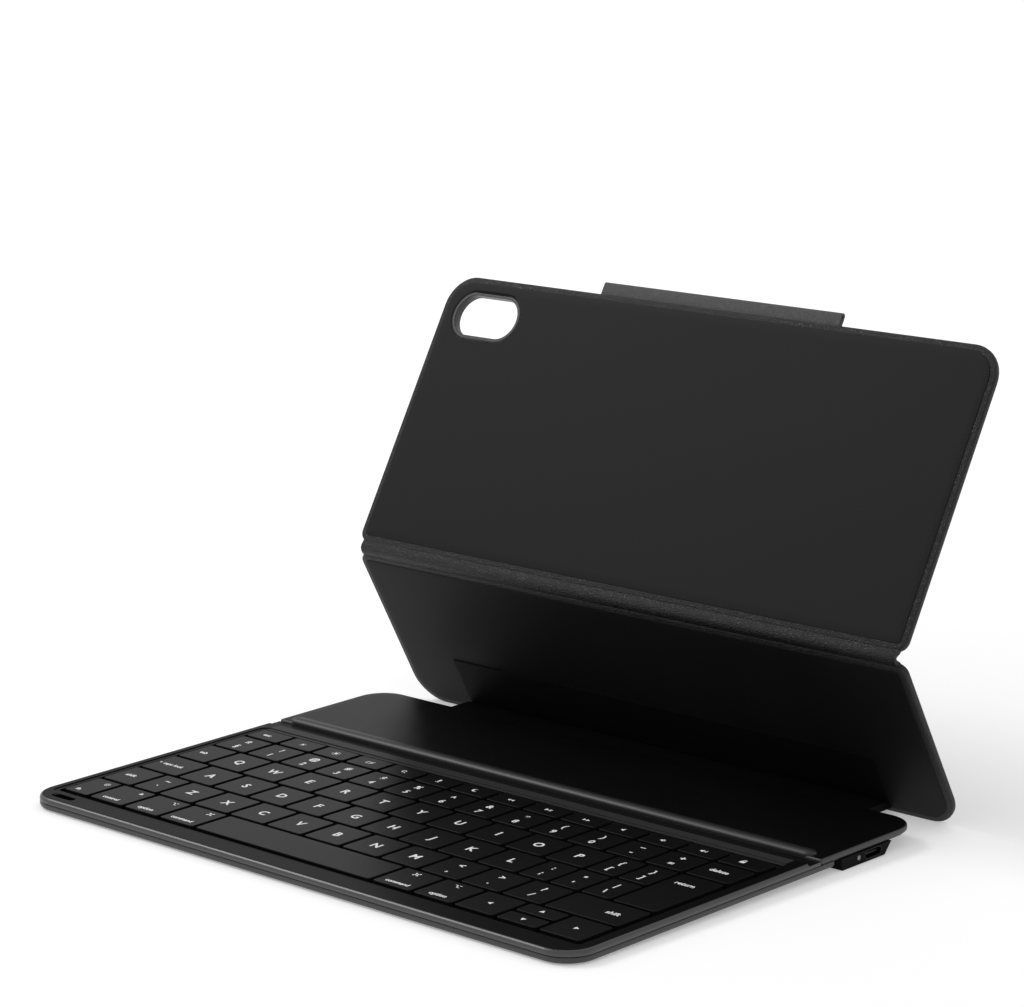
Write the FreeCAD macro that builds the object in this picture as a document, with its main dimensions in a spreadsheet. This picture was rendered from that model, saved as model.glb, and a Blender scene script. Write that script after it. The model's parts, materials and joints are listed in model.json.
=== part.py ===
import FreeCAD, Part
import math
import os
import re
from FreeCAD import Placement, Rotation, Vector

# Tablet keyboard case, standing open: a keyboard deck, a hinge spine behind it, a lower and an
# upper cover panel that fold into a stand, and a clasp flap. Millimetres, +Z up, +Y to the rear,
# +X to the right of someone typing. Everything is drawn with the deck level, and then tilted a little
# forward, because the electronics bar lifts the deck's rear. The finished model stands on Z = 0,
# centred on the origin.

SIZES = {
    # outline of the deck and panels
    "side_margin": 6.0,
    "platform_depth": 52.5,
    "deck_corner_radius": 11.0,
    "panel_corner_radius": 12.0,
    "fold_corner_radius": 4.0,
    "edge_round": 1.3,
    # heights in the deck
    "cover_bottom": 2.9,
    "cover_thickness": 0.5,
    "cover_wall": 1.0,
    "cover_height": 2.2,
    "seam_gap": 0.2,
    "tray_wall": 1.2,
    "tray_floor": 0.3,
    "tray_height": 0.8,
    "plate_thickness": 0.4,
    "membrane_thickness": 0.1,
    "frame_height": 2.6,
    "fit_gap": 0.1,
    # feet
    "front_foot_height": 0.55,
    "rear_foot_height": 0.3,
    "foot_radius": 5.0,
    "foot_from_side": 20.0,
    "foot_from_front": 15.0,
    "foot_from_bar_front": 12.0,
    # key field, from the deck's front edge to the groove
    "key_field_front": 10.4,
    "rear_ledge": 6.9,
    "key_pitch": 17.75,
    "row_pitch": 17.3,
    "number_row_pitch": 15.4,
    "function_row_pitch": 10.6,
    "narrow_pitch": 13.3,
    "return_pitch": 18.7,
    "caps_lock_pitch": 19.65,
    "delete_pitch": 18.95,
    "left_shift_pitch": 15.7,
    "key_gap": 1.6,
    "key_height": 1.8,
    "key_roof": 0.8,
    "key_wall": 0.9,
    "key_round": 0.9,
    "key_rim_round": 0.25,
    "key_travel": 0.9,
    "key_floor_gap": 0.1,
    "well_margin": 0.8,
    "well_round": 1.5,
    "lip_width": 1.9,
    "lip_depth": 0.25,
    "dome_radius": 1.6,
    "dome_top_radius": 0.9,
    "dome_height": 1.0,
    "scissor_height": 0.7,
    "scissor_bar": 0.8,
    "scissor_gap": 0.7,
    "scissor_length": 11.0,
    # status window at the front left
    "indicator_length": 11.0,
    "indicator_width": 3.0,
    "indicator_depth": 1.1,
    "lens_thickness": 0.6,
    "indicator_from_left": 7.5,
    "indicator_from_field": 5.2,
    # screws
    "screw_head_radius": 1.6,
    "screw_head_height": 0.4,
    "screw_radius": 0.65,
    "screw_bite": 1.3,
    "screw_clearance": 0.1,
    "screw_from_front": 16.0,
    "screw_spacing": 42.0,
    # magnets
    "deck_magnet_length": 30.0,
    "deck_magnet_depth": 4.0,
    "deck_magnet_height": 0.4,
    "deck_magnet_from_front": 6.0,
    "tablet_magnet_length": 26.0,
    "tablet_magnet_depth": 7.0,
    "tablet_magnet_height": 1.2,
    "clasp_magnet_length": 20.0,
    "clasp_magnet_depth": 8.0,
    "clasp_magnet_past_end": 1.0,
    "clasp_magnet_height": 0.9,
    # rear platform and the ridge that the tablet's edge rests against
    "groove_width": 6.0,
    "groove_floor": 1.8,
    "ridge_depth": 5.2,
    "ridge_height": 2.2,
    "ridge_end_gap": 4.5,
    "platform_board_thickness": 1.8,
    "platform_leather_thickness": 0.8,
    "platform_inset": 0.4,
    "leather_edge_round": 0.5,
    "tray_past_frame": 13.0,
    # electronics bar under the platform
    "bar_gap": 3.5,
    "bar_depth": 26.2,
    "bar_wall": 0.5,
    "bar_slant": 3.6,
    "bar_lead_in": 0.5,
    "bar_end_wall": 1.6,
    "usb_width": 8.94,
    "usb_height": 3.16,
    "usb_wall": 0.3,
    "usb_length": 7.2,
    "usb_recess": 1.0,
    "usb_clearance": 0.12,
    "usb_place": 16.5,
    "usb_tongue_width": 6.6,
    "usb_tongue_thickness": 0.7,
    "led_radius": 0.8,
    "led_length": 1.6,
    "led_place": 9.1,
    "board_length": 56.0,
    "board_thickness": 0.8,
    "board_from_end": 10.0,
    "board_rear_gap": 1.6,
    "board_gap": 4.0,
    "chip_size": 7.0,
    "chip_height": 1.0,
    "chip_spacing": 17.0,
    "battery_thickness": 2.4,
    "battery_gap": 3.0,
    "battery_from_end": 5.0,
    "battery_rear_gap": 2.6,
    "inside_margin": 3.0,
    # hinge strip, spine and panels
    "strip_bottom": 1.0,
    "strip_thickness": 0.8,
    "strip_from_side": 28.0,
    "strip_gap": 0.8,
    "hinge_overhang": 3.0,
    "hinge_root_gap": 0.3,
    "mount_block_rear_gap": 1.0,
    "spine_length": 18.3,
    "spine_bar_thickness": 1.8,
    "spine_bar_end_gap": 2.5,
    "spine_bar_round": 0.6,
    "lower_panel_length": 70.7,
    "lower_panel_angle": 117.7,
    "upper_panel_angle": 59.6,
    "lining_thickness": 0.5,
    "panel_board_thickness": 1.6,
    "leather_thickness": 0.9,
    "layer_inset": 0.8,
    "hinge_depth_in_panel": 0.6,
    "panel_foot": 2.2,
    "fold_gap": 2.9,
    "fold_strip_inset": 4.0,
    "fold_strip_thickness": 0.6,
    "flap_height": 20.0,
    "flap_from_axis": 3.0,
    "flap_thickness": 0.4,
    # camera window
    "window_length": 30.0,
    "window_width": 15.8,
    "window_rim": 1.4,
    "window_from_side": 22.7,
    "window_from_top": 15.0,
    "rim_proud": 0.4,
    # clasp
    "clasp_length": 108.0,
    "clasp_reach": 17.0,
    "clasp_thickness": 1.6,
    "clasp_clearance": 0.4,
    "clasp_bridge": 2.3,
    "clasp_bridge_thickness": 0.8,
    "clasp_hinge_gap": 0.2,
    "clasp_end_gap": 0.6,
    "clasp_corner_radius": 5.0,
}


def derived_sizes(given):
    """Sizes that follow from the keys' pitches, the feet and the closed position over the deck."""
    field = (given["caps_lock_pitch"] + 9 * given["key_pitch"] + 3 * given["narrow_pitch"]
             + given["return_pitch"])
    field_depth = 4 * given["row_pitch"] + given["number_row_pitch"] + given["function_row_pitch"]
    frame_depth = given["key_field_front"] + field_depth + given["rear_ledge"]
    deck_width = field + 2 * given["side_margin"]
    deck_depth = frame_depth + given["groove_width"] + given["platform_depth"]
    bar_front = frame_depth + given["tray_past_frame"] + given["bar_gap"]
    feet_apart = bar_front + given["foot_from_bar_front"] - given["foot_from_front"]
    front_floor = given["cover_bottom"] - given["front_foot_height"]
    bar_bottom = (given["cover_bottom"] + given["cover_thickness"] + given["tray_height"]
                  + given["plate_thickness"] - given["usb_height"] - 2 * given["usb_clearance"]
                  - given["bar_wall"])
    bar_inside = given["bar_depth"] - given["bar_slant"] - given["inside_margin"]
    rear_floor = bar_bottom - given["rear_foot_height"]
    close_turn = math.radians(180.0 - given["lower_panel_angle"])
    axis_back = deck_depth / 2 + given["hinge_overhang"]
    panel_axis_back = axis_back + given["spine_length"] * math.cos(close_turn)
    reach = panel_axis_back - given["lower_panel_length"] + deck_depth / 2
    clasp_axis_length = (reach + given["clasp_clearance"] + given["clasp_thickness"]
                         + given["clasp_hinge_gap"])
    panel_end = (clasp_axis_length - given["clasp_thickness"] - given["clasp_end_gap"]
                 - given["clasp_bridge"])
    in_bar = (given["board_length"] + given["board_from_end"] + given["battery_from_end"]
              + given["battery_gap"] + given["board_gap"])
    return {
        "key_field_width": field,
        "key_field_depth": field_depth,
        "number_pitch": (field - given["delete_pitch"]) / 13,
        "deck_width": deck_width,
        "panel_width": deck_width,
        "frame_depth": frame_depth,
        "deck_depth": deck_depth,
        "tray_depth": frame_depth + given["tray_past_frame"],
        "bar_front": bar_front,
        "bar_bottom": bar_bottom,
        "board_depth": bar_inside - given["board_rear_gap"],
        "battery_depth": bar_inside - given["battery_rear_gap"],
        "strip_width": deck_width - 2 * given["strip_from_side"],
        "ridge_length": deck_width - 2 * given["ridge_end_gap"],
        "battery_length": (deck_width - in_bar) / 2,
        "deck_tilt": math.degrees(math.atan((front_floor - rear_floor) / feet_apart)),
        "clasp_axis_length": clasp_axis_length,
        "upper_panel_length": panel_end,
    }


SIZES.update(derived_sizes(SIZES))

doc = FreeCAD.newDocument("TabletKeyboardCase")
sheet = doc.addObject("Spreadsheet::Sheet", "Sizes")
for line, (alias, value) in enumerate(SIZES.items(), start=1):
    sheet.set(f"A{line}", alias.replace("_", " "))
    sheet.set(f"B{line}", repr(value))
    sheet.setAlias(f"B{line}", alias)
doc.recompute()

# Heights and places as expressions in the sheet's words.
COVER_TOP = "cover_bottom + cover_thickness"
PLATE_BOTTOM = f"{COVER_TOP} + tray_height"
PLATE_TOP = f"{PLATE_BOTTOM} + plate_thickness"
MEMBRANE_TOP = f"{PLATE_TOP} + membrane_thickness"
DECK_TOP = f"{PLATE_TOP} + frame_height"
SEAM = "cover_bottom + cover_height + seam_gap"
KEY_BOTTOM = f"{MEMBRANE_TOP} + key_floor_gap + key_travel"
FRONT = "-deck_depth / 2"
FIELD_FRONT = f"{FRONT} + key_field_front"
FIELD_LEFT = "-key_field_width / 2"
FRAME_REAR = f"{FRONT} + frame_depth"
RIDGE_FRONT = f"{FRAME_REAR} + groove_width"
BAR_FRONT = f"{FRONT} + bar_front"
BAR_REAR = f"{BAR_FRONT} + bar_depth"
BAR_FLOOR = "bar_bottom + bar_wall"
STRIP_LEVEL = "strip_bottom + strip_thickness / 2"
INSIDE_WALL = "(cover_wall + fit_gap)"


WORD = re.compile(r"[a-z_]+")


def bound(expression):
    """Turns the sheet's bare words into references to its cells."""
    return WORD.sub(lambda word: f"Sizes.{word[0]}" if word[0] in SIZES else word[0], expression)


def number(expression):
    """The value of an expression in the sheet's words."""
    return float(sheet.evalExpression(WORD.sub(lambda word: repr(float(sheet.get(word[0]))), expression)))


def bind(piece, **expressions):
    """Binds properties, and x, y and z of the place, to the sheet."""
    for name, expression in expressions.items():
        path = f".Placement.Base.{name}" if name in ("x", "y", "z") else name
        piece.setExpression(path, bound(expression))
    return piece


def box(name, x, y, z, length, width, height):
    piece = doc.addObject("Part::Box", name)
    return bind(piece, x=x, y=y, z=z, Length=length, Width=width, Height=height)


def slab(name, width, y, z, depth, height):
    """A box that is centred on X."""
    return box(name, f"-({width}) / 2", y, z, width, depth, height)


def cylinder(name, x, y, z, radius, height):
    return bind(doc.addObject("Part::Cylinder", name), x=x, y=y, z=z, Radius=radius, Height=height)


ROUND_END_FLAT = 0.01   # half the flat left between the two fillets of a round end
PORT_END_FLAT = 0.05    # the same for the charging port's ends


def cut(name, base, *tools):
    tool = tools[0] if len(tools) == 1 else group(f"{name}_tools", tools)
    piece = doc.addObject("Part::Cut", name)
    piece.Base, piece.Tool = base, tool
    return piece


def group(name, pieces):
    piece = doc.addObject("Part::Compound", name)
    piece.Links = list(pieces)
    return piece


def rounded(name, base, radius, chosen):
    """Fillets the edges of base that chosen picks."""
    doc.recompute()
    whole = base.Shape.BoundBox
    edges = [place for place, edge in enumerate(base.Shape.Edges, start=1) if chosen(edge, whole)]
    piece = doc.addObject("Part::Fillet", name)
    piece.Base = base
    piece.Edges = [(place, radius, radius) for place in edges]
    return piece


def upright(edge, whole):
    return edge.BoundBox.ZLength > 0.9 * whole.ZLength


def upright_front(edge, whole):
    return upright(edge, whole) and edge.BoundBox.Center.y < whole.Center.y


def upright_rear(edge, whole):
    return upright(edge, whole) and edge.BoundBox.Center.y > whole.Center.y


def around_top(edge, whole):
    return edge.BoundBox.ZMin > whole.ZMax - 1e-4


def along_x(edge, whole):
    return edge.BoundBox.XLength > 0.9 * whole.XLength


def plate(name, width, y, z, depth, height, front_radius, rear_radius):
    """A slab centred on X whose front and rear corners have their own radii."""
    piece = slab(f"{name}_blank", width, y, z, depth, height)
    if front_radius:
        piece = rounded(f"{name}_front_corners", piece, SIZES[front_radius], upright_front)
    if rear_radius:
        piece = rounded(f"{name}_rear_corners", piece, SIZES[rear_radius], upright_rear)
    return piece


def stadium(name, length, width, x, y, z, height):
    """A closed round-ended slot shape that lies along X, centred on x and y."""
    left, front = f"{x} - ({length}) / 2", f"{y} - ({width}) / 2"
    blank = box(f"{name}_blank", left, front, z, length, width, height)
    return rounded(name, blank, number(width) / 2 - ROUND_END_FLAT, upright)


def profile_body(name, points, arcs, length, x):
    """A PartDesign body: a closed outline in the YZ plane, padded along X by length from x.

    arcs maps the number of a side to the point its arc passes through."""
    body = doc.addObject("PartDesign::Body", name)
    sketch = body.newObject("Sketcher::SketchObject", f"{name}_outline")
    plane = next(item for item in body.Origin.OriginFeatures if item.Role == "YZ_Plane")
    sketch.AttachmentSupport = [(plane, "")]
    sketch.MapMode = "FlatFace"
    corners = [Vector(number(y), number(z), 0) for y, z in points]
    for side, start in enumerate(corners):
        end = corners[(side + 1) % len(corners)]
        if side in arcs:
            middle = Vector(*(number(value) for value in arcs[side]), 0)
            sketch.addGeometry(Part.Arc(start, middle, end))
        else:
            sketch.addGeometry(Part.LineSegment(start, end))
    pad = body.newObject("PartDesign::Pad", f"{name}_pad")
    pad.Profile = sketch
    pad.setExpression("Length", bound(length))
    sketch.setExpression(".AttachmentOffset.Base.z", bound(x))
    return body


nodes = {}


def node(name, piece):
    """Names a finished sub-part, which is written to its own file."""
    piece.Label = name
    nodes[name] = piece
    return piece


# ---------------------------------------------------------------- deck

def shell(name, inset, z, height, wall, floor, rear_wall):
    """An open tray under the keyboard with its front corners concentric with the deck's."""
    width, depth = f"deck_width - 2 * ({inset})", f"tray_depth - 2 * ({inset})"
    front = f"{FRONT} + {inset}"
    radius = SIZES["deck_corner_radius"] - number(inset)
    outer = slab(f"{name}_outer", width, front, z, depth, height)
    outer = rounded(f"{name}_outer_corners", outer, radius, upright_front)
    inner_depth = f"{depth} - 2 * {wall}" if rear_wall else depth
    inner = slab(f"{name}_inner", f"{width} - 2 * {wall}", f"{front} + {wall}", f"{z} + {floor}",
                 inner_depth, height)
    inner = rounded(f"{name}_inner_corners", inner, radius - SIZES[wall], upright_front)
    return cut(f"{name}_shell", outer, inner)


SCREW_X = tuple(f"{side}(deck_width / 2 - cover_wall - tray_wall - screw_head_radius)"
                for side in ("-", ""))
SCREW_Y = tuple(f"{FRONT} + screw_from_front + {step} * screw_spacing" for step in range(3))


def screw_holes(name, radius, z, height):
    places = [(x, y) for x in SCREW_X for y in SCREW_Y]
    return [cylinder(f"{name}_{place}", x, y, z, radius, height) for place, (x, y) in enumerate(places)]


def make_deck_shells():
    node("keyboard_outer_cover", shell("cover", "0", "cover_bottom", "cover_height", "cover_wall",
                                       "cover_thickness", rear_wall=False))
    tray = shell("tray", "cover_wall", COVER_TOP, "tray_height", "tray_wall", "tray_floor", rear_wall=True)
    holes = screw_holes("tray_hole", "screw_head_radius + screw_clearance", COVER_TOP, "tray_floor")
    node("keyboard_bottom_tray", cut("tray_drilled", tray, *holes))
    metal = plate("support_plate", f"deck_width - 2 * {INSIDE_WALL}", f"{FRONT} + {INSIDE_WALL}",
                  PLATE_BOTTOM, f"tray_depth - 2 * {INSIDE_WALL}", "plate_thickness",
                  "deck_corner_radius", None)
    holes = screw_holes("plate_hole", "screw_radius + screw_clearance", PLATE_BOTTOM, "plate_thickness")
    node("key_support_plate", cut("plate_drilled", metal, *holes))


def make_top_frame():
    """The frame round the keys, with the groove along its rear. Its lower part stands inside the
    cover's wall."""
    depth = "frame_depth + groove_width - fit_gap"
    blank = plate("frame", "deck_width", FRONT, PLATE_TOP, depth, "frame_height",
                  "deck_corner_radius", None)
    soft = rounded("frame_soft_edge", blank, SIZES["edge_round"], around_top)
    around = plate("rebate_outer", "deck_width", FRONT, PLATE_TOP, depth, f"{SEAM} - ({PLATE_TOP})",
                   "deck_corner_radius", None)
    kept = plate("rebate_inner", f"deck_width - 2 * {INSIDE_WALL}", f"{FRONT} + {INSIDE_WALL}", PLATE_TOP,
                 f"{depth} - {INSIDE_WALL}", f"{SEAM} - ({PLATE_TOP})", "deck_corner_radius", None)
    grown = "+ 2 * well_margin"
    well = slab("well_blank", f"key_field_width {grown}", f"{FIELD_FRONT} - well_margin", PLATE_TOP,
                f"key_field_depth {grown}", "frame_height")
    well = rounded("well", well, SIZES["well_round"], upright)
    grown += " + 2 * lip_width"
    lip = slab("lip_blank", f"key_field_width {grown}", f"{FIELD_FRONT} - well_margin - lip_width",
               f"{DECK_TOP} - lip_depth", f"key_field_depth {grown}", "lip_depth")
    lip = rounded("lip", lip, SIZES["well_round"] + SIZES["lip_width"], upright)
    holes = screw_holes("frame_hole", "screw_radius + screw_clearance / 2", PLATE_TOP,
                        "screw_bite + screw_clearance")
    open_frame = cut("frame_without_well", soft, well)
    groove = slab("groove", "deck_width", FRAME_REAR, f"{PLATE_TOP} + groove_floor", "groove_width",
                  "frame_height")
    stepped = cut("frame_stepped", open_frame, lip, groove, cut("rebate", around, kept))
    node("keyboard_top_frame", cut("frame_finished", stepped, indicator_shape("indicator_slot", "frame_height"),
                                   *holes))
    node("indicator_window", indicator_shape("window_lens", "lens_thickness"))


def indicator_shape(name, height):
    """The status window: a round-ended slot at the front left of the deck, with its lens low down."""
    return stadium(name, "indicator_length", "indicator_width", f"{FIELD_LEFT} + indicator_from_left",
                   f"{FIELD_FRONT} - indicator_from_field", f"{DECK_TOP} - indicator_depth", height)


def make_screws():
    heads = screw_holes("screw_head", "screw_head_radius", COVER_TOP, "screw_head_height")
    shanks = screw_holes("screw_shank", "screw_radius", f"{COVER_TOP} + screw_head_height",
                         "tray_height - screw_head_height + plate_thickness + screw_bite")
    screws = []
    for place, (head, shank) in enumerate(zip(heads, shanks)):
        screw = doc.addObject("Part::Fuse", f"screw_{place}")
        screw.Base, screw.Tool = head, shank
        screws.append(screw)
    node("tray_screws", group("screw_group", screws))


def make_feet():
    """Two feet under the front and two under the bar, cut off level with the floor."""
    under_foot = Vector(0, number(f"{FRONT} + foot_from_front"), number("cover_bottom - front_foot_height"))
    to_corner = Vector(-SIZES["deck_width"], -2 * SIZES["deck_depth"], -SIZES["deck_depth"])
    level = Rotation(Vector(1, 0, 0), -SIZES["deck_tilt"])
    floor = bind(doc.addObject("Part::Box", "floor"), Length="2 * deck_width", Width="4 * deck_depth",
                 Height="deck_depth")
    floor.Placement = Placement(under_foot, level) * Placement(to_corner, Rotation())
    feet = []
    for side in ("-", ""):
        x = f"{side}(deck_width / 2 - foot_from_side)"
        feet.append(cylinder("front_foot", x, f"{FRONT} + foot_from_front",
                             "cover_bottom - 2 * front_foot_height", "foot_radius",
                             "2 * front_foot_height"))
        feet.append(cylinder("rear_foot", x, f"{BAR_FRONT} + foot_from_bar_front",
                             "bar_bottom - 2 * rear_foot_height", "foot_radius", "2 * rear_foot_height"))
    node("rubber_feet", group("feet_group", [cut("foot", foot, floor) for foot in feet]))


def make_magnets(name, places, kind, z, grown="0", height=None):
    """A row of flat bar magnets, or of the pockets for them, whose size is grown by the clearance."""
    length, depth = f"({kind}_magnet_length + {grown})", f"({kind}_magnet_depth + {grown})"
    height = height or f"{kind}_magnet_height"
    return [box(f"{name}_{place}", f"{x} - {length} / 2", f"{y} - {depth} / 2", z, length, depth, height)
            for place, (x, y) in enumerate(places)]


def make_deck_magnets():
    front = f"{FRONT} + deck_magnet_from_front"
    places = [(f"{side}deck_magnet_length", front) for side in ("-", "")]
    bars = make_magnets("front_magnet", places, "deck", f"{COVER_TOP} + tray_floor")
    node("deck_magnets", group("deck_magnet_group", bars))


# ---------------------------------------------------------------- keys

ROWS = ("arrow", "bottom", "home", "top", "number", "function")


def row_front(row):
    """How far a row's front boundary is behind the front of the key field."""
    steps = min(ROWS.index(row), 4)
    return f"{steps} * row_pitch" + (" + number_row_pitch" if row == "function" else "")


def row_depth(row):
    return {"number": "number_row_pitch", "function": "function_row_pitch"}.get(row, "row_pitch")


LETTER, NARROW, NUMBER = "key_pitch", "narrow_pitch", "number_pitch"
REST = None     # the key that takes what is left of its row
LAYOUT = {
    "arrow": [("key_fn", NARROW), ("key_control", LETTER), ("key_option_left", LETTER),
              ("key_command_left", LETTER), ("key_space", REST), ("key_command_right", LETTER),
              ("key_option_right", LETTER), ("key_arrow_left", LETTER), ("arrow_pair", LETTER),
              ("key_arrow_right", LETTER)],
    "bottom": [("key_shift_left", "left_shift_pitch"), ("bottom_row_keys", NARROW)]
              + [("bottom_row_keys", LETTER)] * 10 + [("key_shift_right", REST)],
    "home": [("key_caps_lock", REST)] + [("home_row_keys", LETTER)] * 9 + [("home_row_keys", NARROW)] * 3
            + [("key_return", "return_pitch")],
    "top": [("key_tab", REST)] + [("top_row_keys", LETTER)] * 10 + [("top_row_keys", NARROW)] * 2
           + [("return_above", "return_pitch")],
    "number": [("number_row_keys", NUMBER)] * 13 + [("key_delete", REST)],
    "function": [("key_escape", NUMBER)] + [("function_row_keys", NUMBER)] * 12 + [("key_lock", REST)],
}


def placed_keys():
    """Every key as (node, name, x, y, pitch along X, pitch along Y), all as expressions."""
    keys = []
    for row, entries in LAYOUT.items():
        fixed = " + ".join(width for _, width in entries if width)
        left = FIELD_LEFT
        for place, (owner, width) in enumerate(entries):
            width = width or f"(key_field_width - ({fixed}))"
            front, depth = f"{FIELD_FRONT} + {row_front(row)}", row_depth(row)
            name = f"{row}_{place}"
            if owner == "arrow_pair":
                half = f"({depth}) / 2"
                keys.append(("key_arrow_down", f"{name}_low", left, front, width, half))
                keys.append(("key_arrow_up", f"{name}_high", left, f"{front} + {half}", width, half))
            elif owner == "key_return":
                keys.append((owner, name, left, front, width, "2 * row_pitch"))
            elif owner != "return_above":
                keys.append((owner, name, left, front, width, depth))
            left = f"{left} + {width}"
    return keys


def make_keycap(name, x, y, pitch_x, pitch_y):
    """A keycap that is open underneath, with rounded corners and a softened rim."""
    length, width = f"{pitch_x} - key_gap", f"{pitch_y} - key_gap"
    x, y = f"{x} + key_gap / 2", f"{y} + key_gap / 2"
    outer = box(f"cap_{name}", x, y, KEY_BOTTOM, length, width, "key_height")
    outer = rounded(f"cap_{name}_corners", outer, SIZES["key_round"], upright)
    outer = rounded(f"cap_{name}_rim", outer, SIZES["key_rim_round"], around_top)
    inner = box(f"cap_{name}_inner", f"{x} + key_wall", f"{y} + key_wall", KEY_BOTTOM,
                f"{length} - 2 * key_wall", f"{width} - 2 * key_wall", "key_height - key_roof")
    return cut(f"cap_{name}_hollow", outer, inner)


def make_scissor(name, x, y, pitch_x, pitch_y):
    """The scissor guide of one key, folded flat: a frame around its dome."""
    inner_x = f"{pitch_x} - key_gap - 2 * key_wall - 2 * scissor_gap"
    length = inner_x if number(inner_x) < SIZES["scissor_length"] else "scissor_length"
    inner_y = f"{pitch_y} - key_gap - 2 * key_wall - 2 * scissor_gap"
    width = inner_y if number(inner_y) < SIZES["scissor_length"] else "scissor_length"
    x, y = f"{x} + ({pitch_x}) / 2 - ({length}) / 2", f"{y} + ({pitch_y}) / 2 - ({width}) / 2"
    outer = box(f"scissor_{name}", x, y, MEMBRANE_TOP, length, width, "scissor_height")
    inner = box(f"scissor_{name}_inner", f"{x} + scissor_bar", f"{y} + scissor_bar", MEMBRANE_TOP,
                f"{length} - 2 * scissor_bar", f"{width} - 2 * scissor_bar", "scissor_height")
    return cut(f"scissor_{name}_frame", outer, inner)


def make_dome(name, x, y, pitch_x, pitch_y):
    dome = doc.addObject("Part::Cone", f"dome_{name}")
    return bind(dome, x=f"{x} + ({pitch_x}) / 2", y=f"{y} + ({pitch_y}) / 2", z=MEMBRANE_TOP,
                Radius1="dome_radius", Radius2="dome_top_radius", Height="dome_height")


def make_keys():
    caps, scissors, domes = {}, [], []
    for owner, name, *place in placed_keys():
        caps.setdefault(owner, []).append(make_keycap(name, *place))
        domes.append(make_dome(name, *place))
        if not owner.endswith(("up", "down")):
            scissors.append(make_scissor(name, *place))
    for owner, pieces in caps.items():
        node(owner, pieces[0] if len(pieces) == 1 else group(f"{owner}_group", pieces))
    node("key_scissors", group("scissor_group", scissors))
    node("rubber_domes", group("dome_group", domes))
    node("key_membrane", slab("membrane", "key_field_width", FIELD_FRONT, PLATE_TOP, "key_field_depth",
                              "membrane_thickness"))


# ---------------------------------------------------------------- rear platform and electronics bar

def make_platform():
    board = plate("platform_board_blank", f"deck_width - 2 * {INSIDE_WALL}", RIDGE_FRONT, PLATE_TOP,
                  "platform_depth - platform_inset", "platform_board_thickness", None, "deck_corner_radius")
    node("platform_board", board)
    level = f"{PLATE_TOP} + platform_board_thickness"
    skin = plate("platform_skin", "deck_width", RIDGE_FRONT, level, "platform_depth",
                 "platform_leather_thickness", None, "deck_corner_radius")
    soft = rounded("platform_soft_edge", skin, SIZES["leather_edge_round"], around_top)
    seat = slab("ridge_seat", "ridge_length + 2 * fit_gap", RIDGE_FRONT, level, "ridge_depth + fit_gap",
                "platform_leather_thickness")
    node("platform_leather", cut("platform_round_ridge", soft, seat))


def make_ridge():
    base = f"{PLATE_TOP} + platform_board_thickness"
    shoulder = f"{base} + ridge_height / 2"
    rear = f"{RIDGE_FRONT} + ridge_depth"
    outline = [(RIDGE_FRONT, base), (rear, base), (rear, shoulder), (RIDGE_FRONT, shoulder)]
    crown = {2: (f"{RIDGE_FRONT} + ridge_depth / 2", f"{base} + ridge_height")}
    node("screen_ridge", profile_body("ridge", outline, crown, "ridge_length", "-ridge_length / 2"))


def make_port_bar():
    outline = [(f"{BAR_FRONT} + bar_lead_in", "bar_bottom"), (f"{BAR_REAR} - bar_slant", "bar_bottom"),
               (BAR_REAR, PLATE_TOP), (BAR_FRONT, PLATE_TOP)]
    body = profile_body("bar", outline, {}, "deck_width", "-deck_width / 2")
    wall = "bar_wall + bar_lead_in"
    cavity = slab("bar_cavity", "deck_width - 2 * bar_end_wall", f"{BAR_FRONT} + {wall}", BAR_FLOOR,
                  f"bar_depth - bar_slant - bar_wall - ({wall})", f"{PLATE_TOP} - ({BAR_FLOOR})")
    port = usb_shape("usb_opening", "usb_width + fit_gap", "usb_height + fit_gap",
                     "usb_length + bar_end_wall")
    light = led_shape("led_hole", "2 * bar_end_wall")
    node("port_bar_housing", cut("bar_hollow", body, cavity, port, light))


BAR_MIDDLE = f"({PLATE_TOP} + {BAR_FLOOR}) / 2"


def usb_shape(name, width, height, length):
    """A round-sided block along X at the charging port, flush with the bar's right end."""
    blank = box(f"{name}_blank", f"deck_width / 2 - ({length})", f"{BAR_FRONT} + usb_place - ({width}) / 2",
                f"{BAR_MIDDLE} - ({height}) / 2", length, width, height)
    return rounded(name, blank, number(height) / 2 - PORT_END_FLAT, along_x)


def led_shape(name, length):
    light = doc.addObject("Part::Cylinder", name)
    light.Placement = Placement(Vector(0, 0, 0), Rotation(Vector(0, 1, 0), 90))
    return bind(light, x=f"deck_width / 2 - {length}", y=f"{BAR_FRONT} + led_place", z=BAR_MIDDLE,
                Radius="led_radius", Height=length)


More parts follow.
